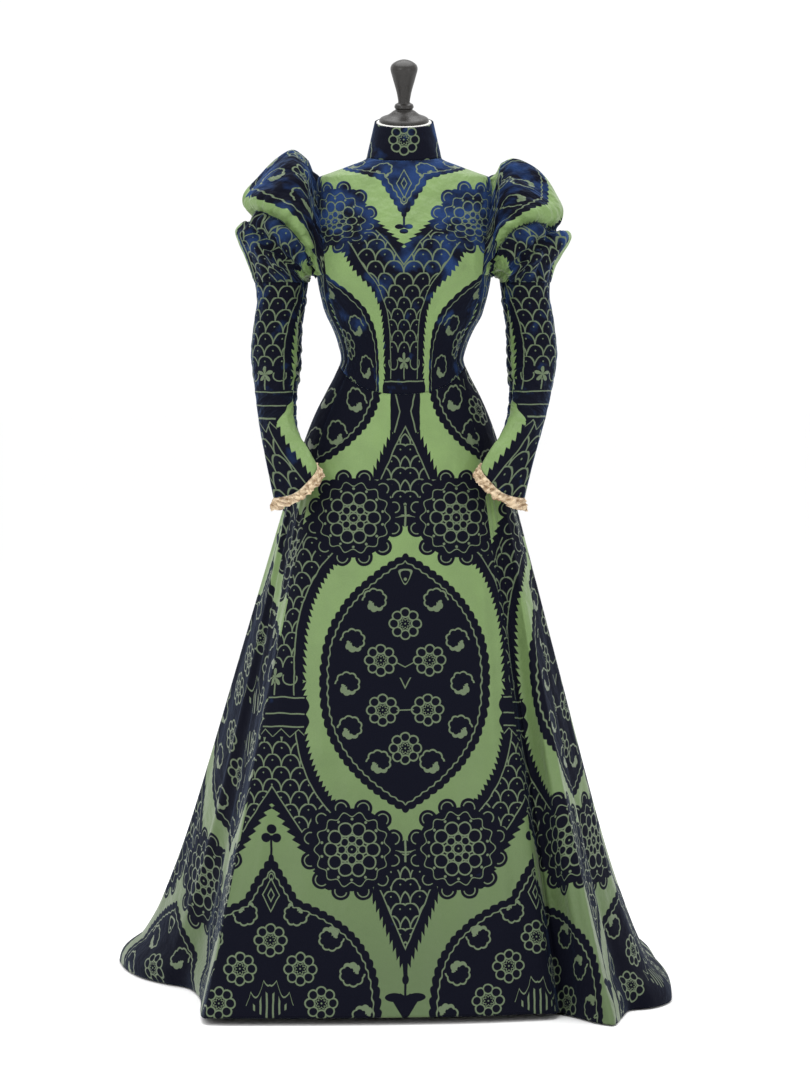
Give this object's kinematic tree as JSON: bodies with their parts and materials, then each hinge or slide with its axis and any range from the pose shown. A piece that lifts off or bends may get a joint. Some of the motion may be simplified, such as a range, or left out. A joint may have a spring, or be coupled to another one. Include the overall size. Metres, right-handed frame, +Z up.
{
  "type": "tea gown on a limbless dress form",
  "caption": "Floor-length tea gown of navy velvet patterned on green satin, with stand collar, puffed sleeve heads, lace cuff frills and a train, standing on a dress form.",
  "frame": {"origin": "on the floor, at the middle of the underside of the dress form's round base, on the axis of its pole", "axes": "+Z up; the gown faces -Y; +X to the wearer's left, which is the viewer's right"},
  "size_m": [0.928, 1.118, 1.5299],
  "materials": {
    "velvet": "voided silk velvet, navy pile on a green satin ground",
    "lace": "matt cream lace",
    "calico": "matt white cotton cover",
    "ebonised_wood": "satin ebonised wood"
  },
  "bodies": {
    "root": {"bodice_front": "velvet", "bodice_side_left": "velvet", "bodice_side_right": "velvet", "bodice_back_left": "velvet", "bodice_back_right": "velvet", "collar": "velvet", "skirt_front": "velvet", "skirt_side_left": "velvet", "skirt_side_right": "velvet", "skirt_back_left": "velvet", "skirt_back_right": "velvet", "sleeve_head_left": "velvet", "sleeve_head_right": "velvet", "sleeve_upper_left": "velvet", "sleeve_upper_right": "velvet", "sleeve_under_left": "velvet", "sleeve_under_right": "velvet", "cuff_frill_left": "lace", "cuff_frill_right": "lace", "form_torso": "calico", "form_neck": "calico", "form_knob": "ebonised_wood", "form_pole": "ebonised_wood", "form_base": "ebonised_wood"}
  },
  "joints": []
}
